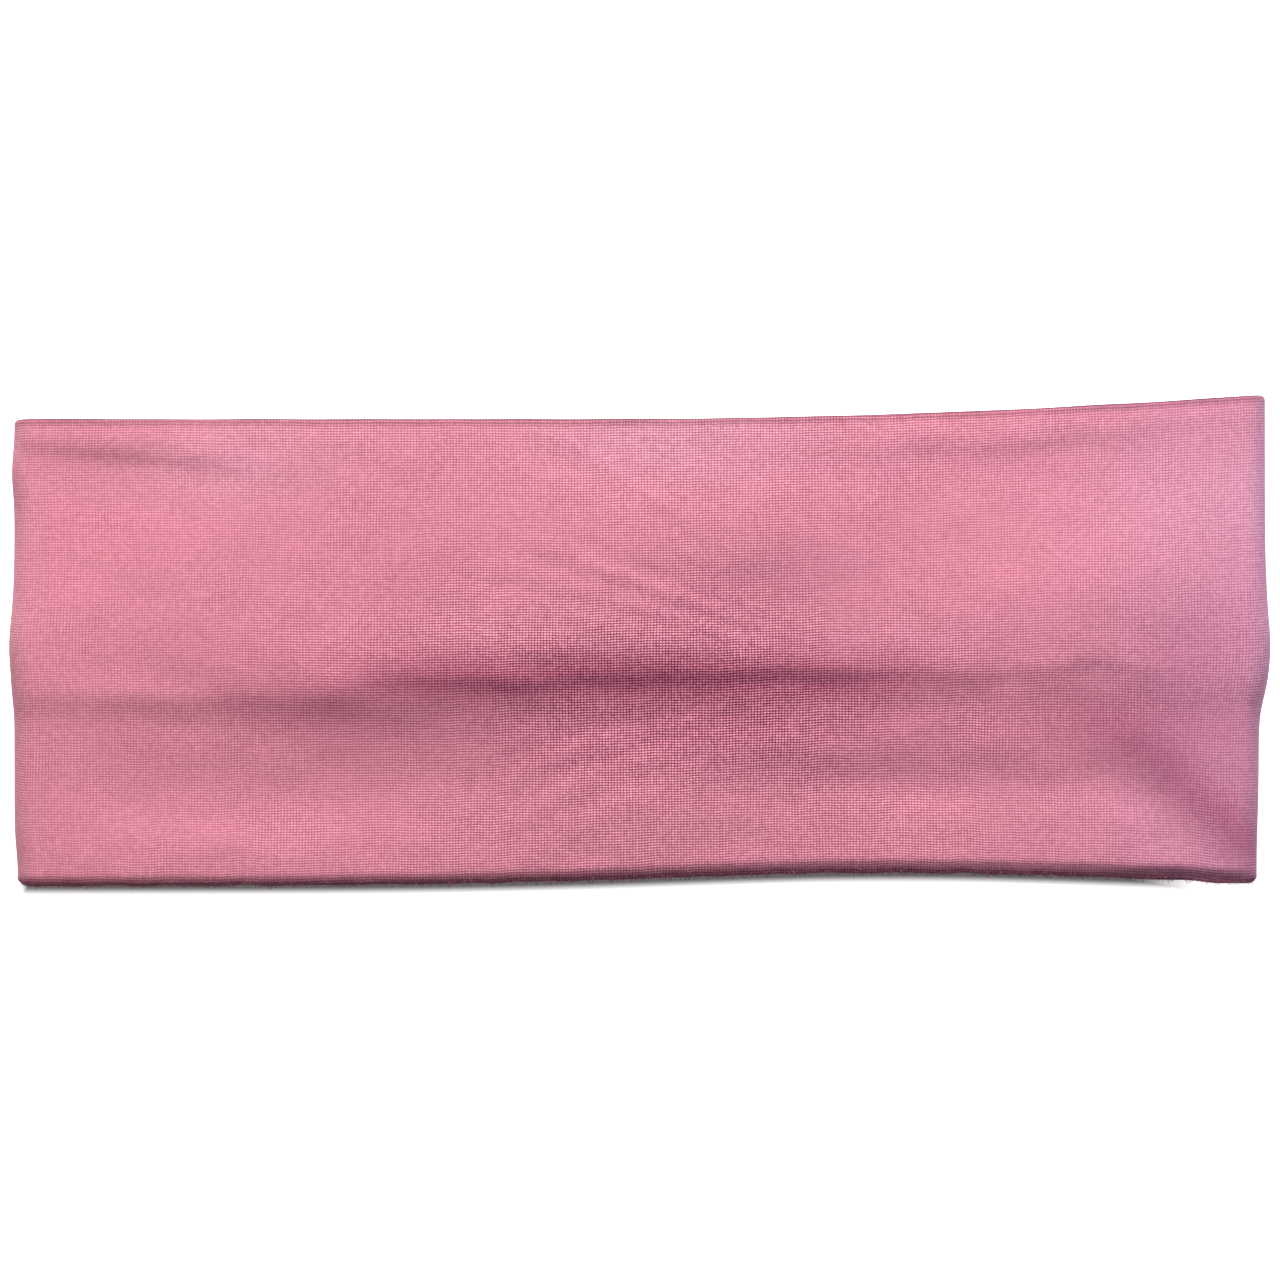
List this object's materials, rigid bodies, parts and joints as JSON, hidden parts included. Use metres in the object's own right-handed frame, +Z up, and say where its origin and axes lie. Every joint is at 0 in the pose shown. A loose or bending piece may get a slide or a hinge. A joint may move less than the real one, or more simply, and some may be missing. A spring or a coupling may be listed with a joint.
{
  "type": "sports headband",
  "caption": "Wide stretch headband of fine knit, folded double and sewn into a loop, lying flat. The loop opens to go round the head.",
  "frame": {"origin": "on the surface the band lies on, under the middle of the band", "axes": "+X along the band towards its right end fold, +Y across the band towards its upper long edge, +Z up out of the front wall"},
  "size_m": [0.24, 0.0939, 0.0101],
  "materials": {
    "knit": "fine weft knit of rose pink polyester and elastane, soft and slightly fuzzy",
    "overlocked_edge": "the same knit, its raw edges bound by overlock thread",
    "sewing_thread": "spun polyester thread in a matching pink"
  },
  "bodies": {
    "back_centre": {"panel_back_centre_left": "knit", "panel_back_centre_right": "knit", "overlock_back_centre_left": "overlocked_edge", "overlock_back_centre_right": "overlocked_edge", "end_allowance_outer_ply": "overlocked_edge", "end_allowance_inner_ply": "overlocked_edge", "end_seam_thread_outer": "sewing_thread", "end_seam_thread_inner": "sewing_thread", "closing_stitch_thread": "sewing_thread"},
    "back_left": {"panel_back_left": "knit", "fold_left_lower": "knit", "overlock_back_left": "overlocked_edge"},
    "back_right": {"panel_back_right": "knit", "fold_right_lower": "knit", "overlock_back_right": "overlocked_edge"},
    "front_left": {"panel_front_left": "knit", "fold_left_upper": "knit", "overlock_front_left": "overlocked_edge"},
    "front_right": {"panel_front_right": "knit", "fold_right_upper": "knit", "overlock_front_right": "overlocked_edge"},
    "front_centre_left": {"panel_front_centre_left": "knit", "overlock_front_centre_left": "overlocked_edge"},
    "front_centre_right": {"panel_front_centre_right": "knit", "overlock_front_centre_right": "overlocked_edge"}
  },
  "joints": [
    {"name": "back_left_bend", "type": "hinge", "parent": "back_centre", "child": "back_left", "pos_m": [-0.04, 0, 0.0028], "axis": [0, 1, 0], "range_deg": [0, 50]},
    {"name": "left_fold_opening", "type": "hinge", "parent": "back_left", "child": "front_left", "pos_m": [-0.12, 0, 0.00505], "axis": [0, -1, 0], "range_deg": [0, 100]},
    {"name": "front_left_bend", "type": "hinge", "parent": "front_left", "child": "front_centre_left", "pos_m": [-0.04, 0, 0.0073], "axis": [0, 1, 0], "range_deg": [0, 50]},
    {"name": "back_right_bend", "type": "hinge", "parent": "back_centre", "child": "back_right", "pos_m": [0.04, 0, 0.0028], "axis": [0, -1, 0], "range_deg": [0, 50]},
    {"name": "right_fold_opening", "type": "hinge", "parent": "back_right", "child": "front_right", "pos_m": [0.12, 0, 0.00505], "axis": [0, 1, 0], "range_deg": [0, 100]},
    {"name": "front_right_bend", "type": "hinge", "parent": "front_right", "child": "front_centre_right", "pos_m": [0.04, 0, 0.0073], "axis": [0, -1, 0], "range_deg": [0, 50]}
  ],
  "couplings": [
    {"joint": "left_fold_opening", "follows": "back_left_bend", "ratio": 2},
    {"joint": "front_left_bend", "follows": "back_left_bend", "ratio": 1},
    {"joint": "back_right_bend", "follows": "back_left_bend", "ratio": 1},
    {"joint": "right_fold_opening", "follows": "back_left_bend", "ratio": 2},
    {"joint": "front_right_bend", "follows": "back_left_bend", "ratio": 1}
  ]
}
